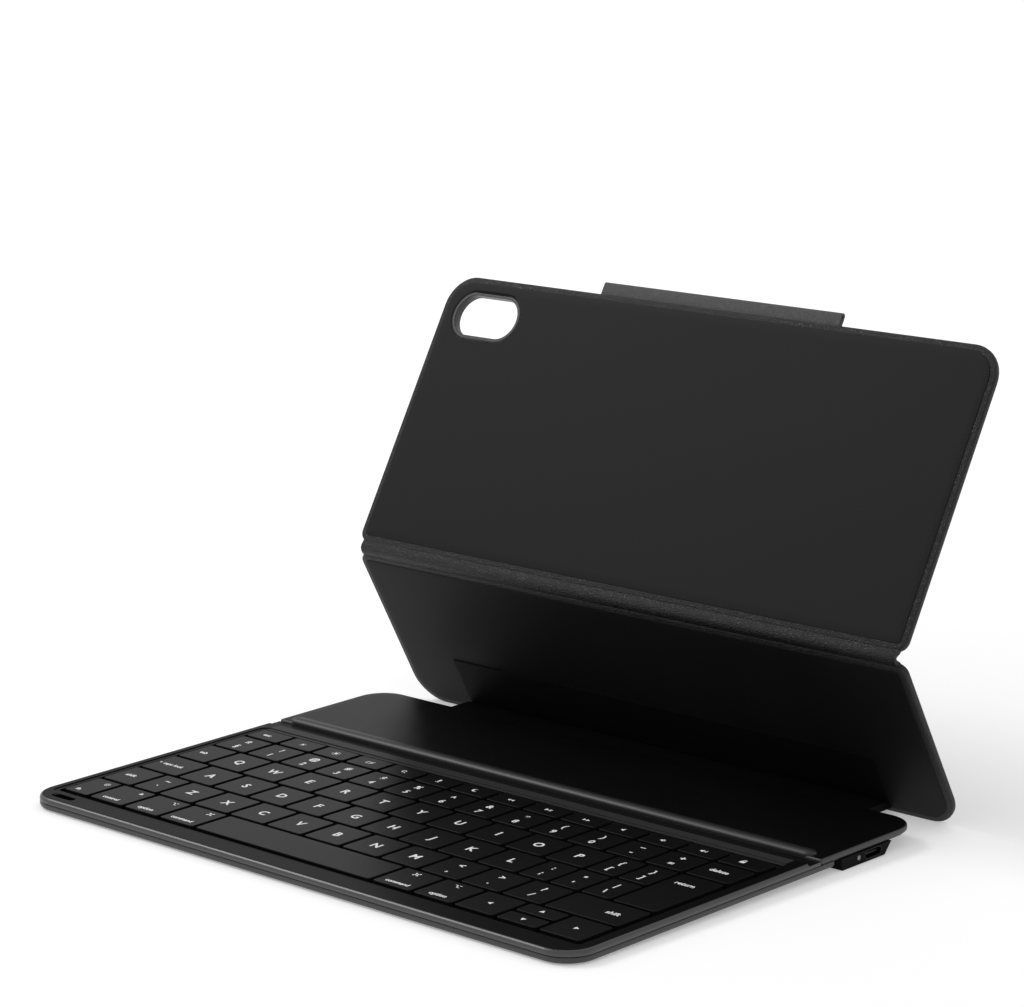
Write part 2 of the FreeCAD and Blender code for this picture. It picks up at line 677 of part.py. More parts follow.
def make_electronics():
    shell_out = usb_shape("usb_shell_outer", "usb_width", "usb_height", "usb_length")
    shell_in = usb_shape("usb_shell_inner", "usb_width - 2 * usb_wall", "usb_height - 2 * usb_wall",
                         "usb_length - usb_recess")
    tongue = box("usb_tongue", "deck_width / 2 - usb_length + usb_recess",
                 f"{BAR_FRONT} + usb_place - usb_tongue_width / 2",
                 f"{BAR_MIDDLE} - usb_tongue_thickness / 2",
                 "usb_length - 2 * usb_recess", "usb_tongue_width", "usb_tongue_thickness")
    node("usb_c_receptacle", group("usb_group", [cut("usb_shell", shell_out, shell_in), tongue]))
    node("status_led", led_shape("led", "led_length"))
    front = f"{BAR_FRONT} + inside_margin"
    board_x = "deck_width / 2 - board_from_end - board_length"
    board = box("board_blank", board_x, front, BAR_FLOOR, "board_length", "board_depth", "board_thickness")
    chips = [box(f"chip_{place}", f"{board_x} + {place} * chip_spacing + chip_size",
                 f"{front} + (board_depth - chip_size) / 2", f"{BAR_FLOOR} + board_thickness",
                 "chip_size", "chip_size", "chip_height") for place in range(3)]
    node("main_circuit_board", group("board_group", [board, *chips]))
    left = "-deck_width / 2 + battery_from_end"
    cells = [box(f"cell_{place}", f"{left} + {place} * (battery_length + battery_gap)", front, BAR_FLOOR,
                 "battery_length", "battery_depth", "battery_thickness") for place in range(2)]
    soft = [rounded(f"cell_{place}_soft", cell, SIZES["board_thickness"], upright)
            for place, cell in enumerate(cells)]
    node("battery_cells", group("cell_group", soft))


def make_hinge_root():
    """The strip's end under the platform's rear, and the block that holds it up to the platform."""
    start = f"{BAR_REAR} + hinge_root_gap"
    behind_bar = "deck_depth - bar_front - bar_depth - hinge_root_gap"
    node("hinge_mount_block", slab("mount_block", "strip_width", start, "strip_bottom + strip_thickness",
                                   f"{behind_bar} - mount_block_rear_gap",
                                   f"{PLATE_TOP} - strip_bottom - strip_thickness"))
    node("deck_hinge_strip", slab("strip_on_deck", "strip_width", start, "strip_bottom",
                                  f"{behind_bar} + hinge_overhang - strip_gap", "strip_thickness"))


# ---------------------------------------------------------------- spine and cover panels

def spine_axis():
    """Where the spine turns on the deck's strip."""
    return Vector(0, number("deck_depth / 2 + hinge_overhang"), number(STRIP_LEVEL))


def panel_axis():
    """Where the lower panel turns on the spine."""
    return spine_axis() + Vector(0, SIZES["spine_length"], 0)


def fold_axis():
    angle = math.radians(SIZES["lower_panel_angle"])
    return panel_axis() + Vector(0, math.cos(angle), math.sin(angle)) * SIZES["lower_panel_length"]


def clasp_axis():
    """Where the clasp turns: past the upper panel's edge, just outside its outer face."""
    turn = Rotation(Vector(1, 0, 0), SIZES["upper_panel_angle"])
    outer = number(f"{LAYERS['leather'][0]} - clasp_hinge_gap")
    return fold_axis() + turn.multVec(Vector(0, SIZES["clasp_axis_length"], outer))


def stand(piece, axis, angle):
    """Takes a piece drawn flat about its own hinge axis to that axis, leaning at angle."""
    piece.Placement = Placement(axis, Rotation(Vector(1, 0, 0), angle))
    return piece


def make_spine():
    strip = slab("spine_strip_blank", "strip_width", "strip_gap", "-strip_thickness / 2",
                 "spine_length - strip_gap - spine_bar_end_gap", "strip_thickness")
    bar = slab("spine_bar_blank", "strip_width", "spine_bar_end_gap", "strip_thickness / 2",
               "spine_length - 2 * spine_bar_end_gap", "spine_bar_thickness")
    bar = rounded("spine_bar_soft", bar, SIZES["spine_bar_round"],
                  lambda edge, whole: along_x(edge, whole) and around_top(edge, whole))
    node("spine_strip", stand(group("spine_strip_piece", [strip]), spine_axis(), 0))
    node("spine_bar", stand(group("spine_bar_piece", [bar]), spine_axis(), 0))


LINING_LOW = "hinge_depth_in_panel - lining_thickness"
BOARD_LOW = f"{LINING_LOW} - panel_board_thickness"
LAYERS = {      # name: (lowest face, thickness), with the hinge line at height 0 and the inner side up
    "lining": (LINING_LOW, "lining_thickness"),
    "board": (BOARD_LOW, "panel_board_thickness"),
    "leather": (f"{BOARD_LOW} - leather_thickness", "leather_thickness"),
}
TRIM = {"lining": "layer_inset", "board": "layer_inset", "leather": "0"}


def make_lower_panel():
    def place(piece):
        whole = group(f"{piece.Name}_placed_on_spine", [piece])
        return stand(whole, panel_axis(), SIZES["lower_panel_angle"])

    for layer, (low, thickness) in LAYERS.items():
        trim = TRIM[layer]
        blank = plate(f"lower_{layer}_blank", f"panel_width - 2 * {trim}", f"-panel_foot + {trim}", low,
                      f"lower_panel_length - fold_gap + panel_foot - {trim}", thickness,
                      "panel_corner_radius", "fold_corner_radius")
        node(f"lower_panel_{layer}", place(blank))
    flap = slab("flap_blank", "strip_width", "flap_from_axis", "hinge_depth_in_panel", "flap_height",
                "flap_thickness")
    node("hinge_flap", place(flap))
    strip = slab("fold_strip_blank", "panel_width - 2 * fold_strip_inset", "lower_panel_length - fold_gap",
                 "-fold_strip_thickness / 2", "fold_gap - fold_strip_thickness", "fold_strip_thickness")
    node("fold_strip", place(strip))


WINDOW_X = "-panel_width / 2 + window_from_side"
WINDOW_Y = "upper_panel_length - window_from_top"
TABLET_MAGNETS = [(f"{step} * tablet_magnet_length * 3 / 4", y) for step in (-3, -1, 1, 3)
                  for y in ("3 * tablet_magnet_depth", "upper_panel_length - 6 * tablet_magnet_depth")]


def window_hole(name, low, thickness):
    return stadium(name, "window_length + 2 * window_rim", "window_width + 2 * window_rim",
                   WINDOW_X, WINDOW_Y, low, thickness)


def make_upper_panel():
    def place(piece):
        whole = group(f"{piece.Name}_placed_on_fold", [piece])
        return stand(whole, fold_axis(), SIZES["upper_panel_angle"])

    for layer, (low, thickness) in LAYERS.items():
        trim = TRIM[layer]
        blank = plate(f"upper_{layer}_blank", f"panel_width - 2 * {trim}", "fold_gap", low,
                      f"upper_panel_length - fold_gap - {trim}", thickness,
                      "fold_corner_radius", "panel_corner_radius")
        holes = [window_hole(f"upper_{layer}_window", low, thickness)]
        if layer == "board":
            holes += make_magnets("magnet_pocket", TABLET_MAGNETS, "tablet", low, "2 * fit_gap", thickness)
        node(f"upper_panel_{layer}", place(cut(f"upper_{layer}_open", blank, *holes)))
    bars = make_magnets("tablet_magnet", TABLET_MAGNETS, "tablet", BOARD_LOW)
    node("tablet_magnets", place(group("tablet_magnet_group", bars)))
    rim_low = f"{LAYERS['leather'][0]} - rim_proud"
    rim_height = "lining_thickness + panel_board_thickness + leather_thickness + rim_proud"
    outer = window_hole("rim_outer", rim_low, rim_height)
    inner = stadium("rim_inner", "window_length", "window_width", WINDOW_X, WINDOW_Y, rim_low, rim_height)
    node("camera_bezel", place(cut("rim_ring", outer, inner)))
    bridge = slab("clasp_bridge_blank", "clasp_length", "upper_panel_length", LAYERS["leather"][0],
                  "clasp_bridge", "clasp_bridge_thickness")
    node("clasp_strip", place(bridge))


def make_clasp():
    def place(piece):
        whole = group(f"{piece.Name}_folded_back", [piece])
        return stand(whole, clasp_axis(), SIZES["upper_panel_angle"] + 180)

    flap = slab("clasp_blank", "clasp_length", "clasp_end_gap - fit_gap", "clasp_hinge_gap", "clasp_reach",
                "clasp_thickness")
    flap = rounded("clasp_corners", flap, SIZES["clasp_corner_radius"], upright_rear)
    level = "clasp_reach - clasp_magnet_depth + clasp_magnet_past_end"
    places = [(f"{step} * clasp_length / 3", level) for step in (-1, 0, 1)]
    pockets = make_magnets("clasp_pocket", places, "clasp", "clasp_hinge_gap", "2 * fit_gap",
                           "clasp_magnet_height + fit_gap")
    bars = make_magnets("clasp_magnet", places, "clasp", "clasp_hinge_gap + fit_gap / 2")
    node("clasp_flap", place(cut("clasp_pocketed", flap, *pockets)))
    node("clasp_magnets", place(group("clasp_magnet_group", bars)))


# ---------------------------------------------------------------- whole model

def centre_on_origin():
    """Tilts every sub-part by the deck's slope and moves all of them together, so that the whole stands
    on Z = 0 with its box centred on the Z axis."""
    slope = Placement(Vector(0, 0, 0), Rotation(Vector(1, 0, 0), SIZES["deck_tilt"]))
    whole = FreeCAD.BoundBox()
    for piece in nodes.values():
        whole.add(piece.Shape.transformed(slope.toMatrix(), copy=True).optimalBoundingBox(False))
    to_origin = Placement(Vector(-whole.Center.x, -whole.Center.y, -whole.ZMin), Rotation())
    for name, piece in nodes.items():
        inner = [path for path, _ in piece.ExpressionEngine if "Placement" in path]
        if inner:
            piece = node(name, group(f"{name}_placed", [piece]))
        piece.Placement = to_origin * slope * piece.Placement
    doc.recompute()


def check():
    for item in doc.Objects:
        if "Invalid" in item.State or "Error" in item.State:
            raise RuntimeError(f"{item.Name} failed: {item.State}")
    for name, piece in nodes.items():
        if piece.Shape.isNull() or not piece.Shape.isValid() or not piece.Shape.Solids:
            raise RuntimeError(f"{name} has no valid solid")


def write():
    os.makedirs("parts", exist_ok=True)
    for name, piece in nodes.items():
        piece.Shape.exportStep(os.path.join("parts", f"{name}.step"))


make_deck_shells()
make_top_frame()
make_screws()
make_feet()
make_deck_magnets()
make_keys()
make_platform()
make_ridge()
make_port_bar()
make_electronics()
make_hinge_root()
make_spine()
make_lower_panel()
make_upper_panel()
make_clasp()
doc.recompute()
centre_on_origin()
check()
write()
print(f"{len(nodes)} nodes written")
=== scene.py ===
import json
import math

import bmesh
import bpy
from mathutils import Matrix, Vector

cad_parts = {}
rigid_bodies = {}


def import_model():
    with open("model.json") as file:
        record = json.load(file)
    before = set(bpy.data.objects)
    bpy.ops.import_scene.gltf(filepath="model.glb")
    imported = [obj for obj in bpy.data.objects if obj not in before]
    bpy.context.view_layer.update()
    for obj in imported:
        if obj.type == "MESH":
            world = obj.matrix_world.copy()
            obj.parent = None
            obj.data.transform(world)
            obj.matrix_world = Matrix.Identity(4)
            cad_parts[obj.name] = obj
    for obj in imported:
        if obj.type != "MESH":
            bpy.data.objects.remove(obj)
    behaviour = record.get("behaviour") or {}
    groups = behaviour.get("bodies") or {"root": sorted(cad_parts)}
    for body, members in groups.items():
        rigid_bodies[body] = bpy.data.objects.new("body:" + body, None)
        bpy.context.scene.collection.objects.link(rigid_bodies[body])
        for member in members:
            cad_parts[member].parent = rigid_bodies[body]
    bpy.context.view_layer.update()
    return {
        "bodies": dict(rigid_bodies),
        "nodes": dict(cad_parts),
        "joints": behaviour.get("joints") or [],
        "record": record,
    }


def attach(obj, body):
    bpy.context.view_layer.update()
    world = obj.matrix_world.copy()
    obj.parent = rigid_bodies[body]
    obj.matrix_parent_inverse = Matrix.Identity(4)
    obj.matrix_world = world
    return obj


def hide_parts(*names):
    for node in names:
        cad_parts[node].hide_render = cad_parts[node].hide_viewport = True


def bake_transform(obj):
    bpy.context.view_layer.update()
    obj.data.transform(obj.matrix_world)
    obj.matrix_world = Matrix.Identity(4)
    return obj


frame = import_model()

# Looks of the tablet keyboard case. Lengths are millimetres in the frames below, and become metres
# when a mesh is made.

MM = 0.001
NODES, JOINTS, RECORD = frame["nodes"], frame["joints"], frame["record"]


# ---------------------------------------------------------------- frames

def joint_place(name):
    return Vector(next(j for j in JOINTS if j["name"] == name)["pos_m"])


def leaning(place, angle):
    return Matrix.Translation(place) @ Matrix.Rotation(angle, 4, "X")


def node_box(node, place):
    """A CAD node's lowest and highest corner in a frame, in millimetres."""
    inverse = place.inverted()
    points = [inverse @ v.co for v in NODES[node].data.vertices]
    return ([min(p[i] for p in points) / MM for i in range(3)],
            [max(p[i] for p in points) / MM for i in range(3)])


CORNER = 11.0       # the radius of the deck's outer corners
press = next(j for j in JOINTS if j["name"] == "key_space_press")["axis"]
TILT = math.atan2(press[1], -press[2])
DECK_TOP = 7.2      # the height of the deck's top face in the deck's own frame
_level = Matrix.Rotation(TILT, 4, "X")
_frame_lo, _frame_hi = node_box("keyboard_top_frame", _level)
_rear = node_box("platform_leather", _level)[1][1]
DECK = _level @ Matrix.Translation(Vector((0, (_frame_lo[1] + _rear) / 2, _frame_hi[2] - DECK_TOP)) * MM)

COVER_FOOT, MIDDLE_FOLD = joint_place("spine_to_cover_fold"), joint_place("cover_middle_fold")
LOWER_LENGTH = (MIDDLE_FOLD - COVER_FOOT).length / MM
LOWER = leaning(COVER_FOOT, math.atan2(MIDDLE_FOLD.z - COVER_FOOT.z, MIDDLE_FOLD.y - COVER_FOOT.y))
face = next(m for m in RECORD["mounts"] if m["name"] == "tablet_face")["axis"]
UPPER_ANGLE = math.atan2(-face[1], face[2])
UPPER = leaning(MIDDLE_FOLD, UPPER_ANGLE)
CLASP = leaning(joint_place("clasp_fold"), UPPER_ANGLE + math.pi)


# ---------------------------------------------------------------- materials

def new_material(name):
    material = bpy.data.materials.new(name)
    material.use_nodes = True
    return material, material.node_tree.nodes, material.node_tree.links


def grained(name, dark, light, rough, cells, cell_depth, fine, fine_depth, patch=18.0, **sockets):
    """A dark surface with a cell grain, a fine grain and slow changes of tone and gloss.

    cells and fine are grains per metre, and the depths are in metres."""
    material, tree, link = new_material(name)
    shader = tree["Principled BSDF"]
    place = tree.new("ShaderNodeTexCoord")
    slow = tree.new("ShaderNodeTexNoise")
    slow.inputs["Scale"].default_value = patch
    slow.inputs["Detail"].default_value = 4.0
    link.new(place.outputs["Object"], slow.inputs["Vector"])
    tone = tree.new("ShaderNodeValToRGB")
    tone.color_ramp.elements[0].position, tone.color_ramp.elements[1].position = 0.3, 0.7
    tone.color_ramp.elements[0].color = (*dark, 1)
    tone.color_ramp.elements[1].color = (*light, 1)
    link.new(slow.outputs["Fac"], tone.inputs["Fac"])
    link.new(tone.outputs["Color"], shader.inputs["Base Color"])
    gloss = tree.new("ShaderNodeMapRange")
    gloss.inputs["To Min"].default_value, gloss.inputs["To Max"].default_value = rough
    link.new(slow.outputs["Fac"], gloss.inputs["Value"])
    link.new(gloss.outputs["Result"], shader.inputs["Roughness"])
    grain = tree.new("ShaderNodeTexNoise")
    grain.inputs["Scale"].default_value = fine
    grain.inputs["Detail"].default_value = 3.0
    link.new(place.outputs["Object"], grain.inputs["Vector"])
    bump = tree.new("ShaderNodeBump")
    bump.inputs["Distance"].default_value = fine_depth
    link.new(grain.outputs["Fac"], bump.inputs["Height"])
    if cells:
        cell = tree.new("ShaderNodeTexVoronoi")
        cell.feature = "DISTANCE_TO_EDGE"
        cell.inputs["Scale"].default_value = cells
        link.new(place.outputs["Object"], cell.inputs["Vector"])
        crease = tree.new("ShaderNodeMapRange")
        crease.inputs["From Max"].default_value = 0.25
        link.new(cell.outputs["Distance"], crease.inputs["Value"])
        coarse = tree.new("ShaderNodeBump")
        coarse.inputs["Distance"].default_value = cell_depth
        link.new(crease.outputs["Result"], coarse.inputs["Height"])
        link.new(bump.outputs["Normal"], coarse.inputs["Normal"])
        bump = coarse
    link.new(bump.outputs["Normal"], shader.inputs["Normal"])
    for socket, value in sockets.items():
        shader.inputs[socket.replace("_", " ")].default_value = value
    return material


def grey(value):
    return (value, value, value * 1.03)


LOOKS = {
    "cover_leather": grained("leather_black", grey(0.005), grey(0.007), (0.38, 0.46),
                             1300, 0.00014, 4200, 0.00003, Specular_IOR_Level=0.35),
    "clasp_leather": grained("leather_grey", grey(0.05), grey(0.065), (0.5, 0.6),
                             1300, 0.00014, 4200, 0.00003),
    "lining_microfibre": grained("microfibre", grey(0.004), grey(0.006), (0.5, 0.6), 0, 0, 2600, 0.00004,
                                 Specular_IOR_Level=0.16),
    "keycap_plastic": grained("keycap", grey(0.005), grey(0.006), (0.28, 0.33), 0, 0, 4200, 0.000008,
                              Specular_IOR_Level=0.07),
    "deck_plastic": grained("deck_plastic", grey(0.004), grey(0.005), (0.3, 0.34), 0, 0, 4200, 0.000008,
                            Specular_IOR_Level=0.035),
    "inner_plastic": grained("inner_plastic", grey(0.0015), grey(0.002), (0.5, 0.6), 0, 0, 3000, 0.00002,
                             Specular_IOR_Level=0.2),
    "stiffener_board": grained("fibre_board", grey(0.02), grey(0.03), (0.8, 0.9), 0, 0, 1800, 0.00005),
    "steel": grained("satin_steel", grey(0.09), grey(0.12), (0.35, 0.45), 0, 0, 3000, 0.00001, Metallic=1.0),
    "rubber": grained("rubber", grey(0.006), grey(0.008), (0.65, 0.75), 0, 0, 2500, 0.00003),
    "circuit_board": grained("solder_mask", (0.01, 0.06, 0.03), (0.012, 0.08, 0.04), (0.35, 0.45),
                             0, 0, 900, 0.00003),
    "battery_foil": grained("battery_foil", grey(0.45), grey(0.5), (0.35, 0.45),
                            0, 0, 700, 0.00006, Metallic=1.0),
    "magnet_metal": grained("nickel", grey(0.5), grey(0.55), (0.2, 0.3), 0, 0, 2000, 0.00001, Metallic=1.0),
    "light_window": grained("smoked_lens", grey(0.001), grey(0.0015), (0.6, 0.7), 0, 0, 2000, 0.000005,
                            Specular_IOR_Level=0.0),
    "rim_plastic": grained("rim_plastic", grey(0.006), grey(0.008), (0.3, 0.38), 0, 0, 3500, 0.00001),
}
LEGEND_INK = grained("legend_ink", (0.85, 0.85, 0.85), (0.9, 0.9, 0.9), (0.5, 0.6), 0, 0, 5000, 0.000005)
SEAT_RUBBER = grained("seat_rubber", grey(0.010), grey(0.013), (0.4, 0.45), 0, 0, 3500, 0.00001,
                      Specular_IOR_Level=0.5)
# Painted highlight: a paler grey for the frame's rounded outer edge and side, standing in for the light they
# catch.
FRAME_EDGE_PAINTED_HIGHLIGHT = grained("frame_edge_painted_highlight", grey(0.045), grey(0.055), (0.26, 0.3), 0, 0, 4200, 0.000008)
# Painted highlight: a paler leather grey for the sides and rounded edges of the deck's cover and the
# platform, standing in for the light they catch.
LEATHER_PAINTED_HIGHLIGHT = grained("leather_painted_highlight", grey(0.028), grey(0.036), (0.36, 0.44), 1500, 0.00004, 5000, 0.00001,
                       Specular_IOR_Level=0.5)
HINGE_LEATHER = grained("leather_hinge", grey(0.003), grey(0.004), (0.55, 0.62), 1500, 0.00004, 5000, 0.00001,
                        Specular_IOR_Level=0.08)
PLATFORM_LEATHER = grained("leather_smooth", grey(0.0025), grey(0.0035), (0.32, 0.38),
                           1500, 0.00003, 5000, 0.000008, Specular_IOR_Level=0.1)
# Painted shade: the USB receptacle's metal is coloured near black, standing in for the shade inside the port.
PORT_METAL_PAINTED_SHADE = grained("port_metal_painted_shade", grey(0.02), grey(0.03), (0.4, 0.5), 0, 0, 3000, 0.00001, Metallic=1.0)
LED_LENS = grained("led_lens", grey(0.16), grey(0.2), (0.3, 0.4), 0, 0, 2000, 0.000005)

node_slot = {part["node"]: part["material_slot"] for part in RECORD["subparts"]}
for node_name, node in NODES.items():
    node.data.materials.clear()
    node.data.materials.append(LOOKS[node_slot[node_name]])
    for polygon in node.data.polygons:
        polygon.material_index = 0
NODES["status_led"].data.materials[0] = LED_LENS
# The USB receptacle takes the painted shade.
NODES["usb_c_receptacle"].data.materials[0] = PORT_METAL_PAINTED_SHADE


GROOVE_WIDTH = 6.0          # from the keyboard's frame back to the platform's leather
LEDGE_FROM_KEYS, LEDGE_FROM_GROOVE, LEDGE_HALF_WIDTH = 1.5, 0.1, 119.0
LEDGE_TONE = (0.034, 0.034, 0.035, 1)


def along_deck(y):
    """The world's Y, in metres, of a place along the deck's own Y, in millimetres."""
    return (DECK @ Vector((0, y * MM, 0))).y


def pale_ledge():
    """The frame's plastic, with a paler band between the function keys and the groove."""
    material = LOOKS["deck_plastic"].copy()
    material.name = "deck_plastic_ledge"
    tree, links = material.node_tree.nodes, material.node_tree.links
    shader = tree["Principled BSDF"]
    plain = shader.inputs["Base Color"].links[0].from_socket
    place = next(n for n in tree if n.bl_idname == "ShaderNodeTexCoord")
    parts = tree.new("ShaderNodeSeparateXYZ")
    links.new(place.outputs["Object"], parts.inputs["Vector"])
    front = along_deck(node_box("function_row_keys", DECK)[1][1] + LEDGE_FROM_KEYS)
    rear = along_deck(node_box("platform_leather", DECK)[0][1] - GROOVE_WIDTH - LEDGE_FROM_GROOVE)
    both = tree.new("ShaderNodeMath")
    both.operation = "MULTIPLY"
    spans = (("Y", (front + rear) / 2, (rear - front) / 2), ("X", 0.0, LEDGE_HALF_WIDTH * MM))
    for (axis, centre, reach), socket in zip(spans, both.inputs):
        near = tree.new("ShaderNodeMath")
        near.operation = "COMPARE"
        near.inputs[1].default_value, near.inputs[2].default_value = centre, reach
        links.new(parts.outputs[axis], near.inputs[0])
        links.new(near.outputs[0], socket)
    mix = tree.new("ShaderNodeMixRGB")
    links.new(both.outputs[0], mix.inputs["Fac"])
    links.new(plain, mix.inputs["Color1"])
    mix.inputs["Color2"].default_value = LEDGE_TONE
    links.new(mix.outputs["Color"], shader.inputs["Base Color"])
    return material


def paint_frame_edge():
    """Gives the frame's rounded outer edge and its side a paler, glossier material than its top; the paler
    colour is a painted highlight.
    """
    mesh = NODES["keyboard_top_frame"].data
    mesh.materials[0] = pale_ledge()
    # The second slot holds the painted highlight for the edge and side faces.
    mesh.materials.append(FRAME_EDGE_PAINTED_HIGHLIGHT)
    flat, rim = 0.97, 1.6 * MM
    up = Vector((0, -math.sin(TILT), math.cos(TILT)))
    lo = [min(v.co[i] for v in mesh.vertices) for i in range(2)]
    hi = [max(v.co[i] for v in mesh.vertices) for i in range(2)]
    for polygon in mesh.polygons:
        x, y, _ = polygon.center
        outside = Vector((polygon.normal.x * x, polygon.normal.y * y))
        near_corner = abs(x) > hi[0] - CORNER * MM and y < lo[1] + CORNER * MM
        near_side = abs(x) > hi[0] - rim or y < lo[1] + rim
        if polygon.normal.dot(up) < flat and max(outside) > 0 and (near_side or near_corner):
            polygon.material_index = 1


# ---------------------------------------------------------------- mesh building

def finish_piece(name, bm, place, slot, body=None, replaced=(), material=None, soft=True):
    """Makes an object from a mesh in millimetres in a frame, and rides it on a body."""
    bmesh.ops.recalc_face_normals(bm, faces=bm.faces)
    mesh = bpy.data.meshes.new(name)
    bm.to_mesh(mesh)
    bm.free()
    mesh.transform(place @ Matrix.Scale(MM, 4))
    for polygon in mesh.polygons:
        polygon.use_smooth = soft
    if soft:
        mesh.set_sharp_from_angle(angle=math.radians(40))
    mesh.materials.append(material or LOOKS[slot])
    piece = bpy.data.objects.new(name, mesh)
    bpy.context.scene.collection.objects.link(piece)
    if body:
        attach(piece, body)
    if replaced:
        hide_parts(*replaced)
    return piece


def outline(x0, x1, y0, y1, radii, inset=0.0, steps=10):
    """A rounded rectangle moved inwards, as points from its front left corner round to the left side."""
    corners = ((x0, y0, 1, 1, 180), (x1, y0, -1, 1, 270), (x1, y1, -1, -1, 0), (x0, y1, 1, -1, 90))
    points = []
    for (x, y, to_x, to_y, start), radius in zip(corners, radii):
        left = max(radius - inset, 0.02)
        middle_x, middle_y = x + to_x * (inset + left), y + to_y * (inset + left)
        for step in range(steps + 1):
            angle = math.radians(start + 90 * step / steps)
            points.append((middle_x + left * math.cos(angle), middle_y + left * math.sin(angle)))
    return points


def add_rings(bm, shape, profile, closed=False):
    """Joins rings at each (inset, height) of a profile, and gives the first and last ring's vertices."""
    rings = [[bm.verts.new((x, y, height)) for x, y in outline(*shape, inset=inset)]
             for inset, height in profile]
    pairs = list(zip(rings, rings[1:])) + ([(rings[-1], rings[0])] if closed else [])
    for one, other in pairs:
        for i in range(len(one)):
            j = (i + 1) % len(one)
            bm.faces.new((one[i], one[j], other[j], other[i]))
    return rings[0], rings[-1]


def ring_edges(bm, ring):
    return [bm.edges.get((ring[i], ring[(i + 1) % len(ring)])) for i in range(len(ring))]


def plate(shape, profile, hole=None, hole_profile=None):
    """A closed plate: rings round its edge, and flat faces over both ends, with an optional hole."""
    bm = bmesh.new()
    first, last = add_rings(bm, shape, profile)
    if hole is None:
        bm.faces.new(first)
        bm.faces.new(last)
    else:
        hole_first, hole_last = add_rings(bm, hole, hole_profile)
        for ring, hole_ring in ((first, hole_first), (last, hole_last)):
            edges = ring_edges(bm, ring) + ring_edges(bm, hole_ring)
            bmesh.ops.triangle_fill(bm, use_beauty=True, edges=edges)
    return bm


def edge_profile(low, high, radius, flat=1.5, steps=5):
    """(inset, height) from the lower face's rim round a rounded edge to the upper face's rim."""
    radius = min(radius, (high - low) / 2)
    turns = [math.radians(90 * i / steps) for i in range(steps + 1)]
    lower = [(radius - radius * math.sin(a), low + radius - radius * math.cos(a)) for a in turns]
    upper = [(inset, low + high - height) for inset, height in reversed(lower)]
    return [(radius + flat, low), *lower, *upper, (radius + flat, high)]


def band(name, points, half_width, slot, replaced=(), material=None, steps=24):
    """A flexible strip along X whose closed outline in the YZ plane is given in metres."""
    bm = bmesh.new()
    rows = []
    for step in range(steps + 1):
        x = half_width * (2 * step / steps - 1)
        rows.append([bm.verts.new((x, y / MM, z / MM)) for y, z in points])
    for one, other in zip(rows, rows[1:]):
        for i in range(len(points)):
            j = (i + 1) % len(points)
            bm.faces.new((one[i], one[j], other[j], other[i]))
    bm.faces.new(rows[0])
    bm.faces.new(rows[-1])
    piece = finish_piece(name, bm, Matrix.Identity(4), slot, replaced=replaced, material=material)
    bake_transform(piece)
    return piece


def yz(place, y, z):
    point = place @ Vector((0, y * MM, z * MM))
    return point.y, point.z


def spread(points, spacing=0.5):
    """Adds points along the straight runs of an open line in millimetres."""
    line = [points[0]]
    for (y0, z0), (y1, z1) in zip(points, points[1:]):
        count = max(1, math.ceil(math.hypot(y1 - y0, z1 - z0) / spacing))
        line += [(y0 + (y1 - y0) * i / count, z0 + (z1 - z0) * i / count) for i in range(1, count + 1)]
    return line


ROUND_END_FLAT = 0.03   # half the flat left in the middle of a round end


# ---------------------------------------------------------------- deck

